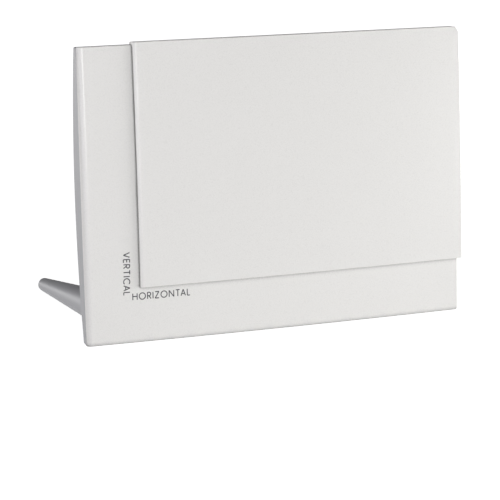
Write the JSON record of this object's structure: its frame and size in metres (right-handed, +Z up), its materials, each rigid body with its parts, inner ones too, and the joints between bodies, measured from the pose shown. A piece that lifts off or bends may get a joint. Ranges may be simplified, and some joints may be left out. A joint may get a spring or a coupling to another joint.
{
  "type": "indoor tv antenna",
  "caption": "Flat indoor TV antenna: a crowned plastic panel with a raised front cover, standing on its lower edge and one tapered rear leg, with a coaxial socket behind.",
  "frame": {"origin": "on the floor, under the middle of the whole antenna's box", "axes": "+X to the viewer's right across the panel's front, +Y to the back, where the leg points, +Z up"},
  "size_m": [0.2294, 0.125, 0.1637],
  "materials": {
    "white_plastic": "satin moulded",
    "grey_plastic": "satin moulded",
    "circuit_board": "solder mask",
    "copper": "printed copper",
    "tinned_steel": "tinned",
    "black_epoxy": "moulded",
    "ceramic_block": "fired",
    "ferrite": "sintered",
    "nickel": "nickel plated",
    "insulator": "moulded",
    "zinc_steel": "zinc plated"
  },
  "bodies": {
    "root": {"front_plate": "white_plastic", "front_cover": "white_plastic", "rear_shell": "grey_plastic", "stand_leg": "grey_plastic", "antenna_board": "circuit_board", "dipole_arm_left": "copper", "dipole_arm_right": "copper", "shield_can": "tinned_steel", "amplifier_chip": "black_epoxy", "filter_block": "ceramic_block", "balun_core": "ferrite", "feed_choke": "ferrite", "chip_capacitors": "ceramic_block", "socket_body": "nickel", "socket_insulator": "insulator", "socket_contact": "nickel", "housing_screws": "zinc_steel", "board_screws": "zinc_steel"}
  },
  "joints": []
}
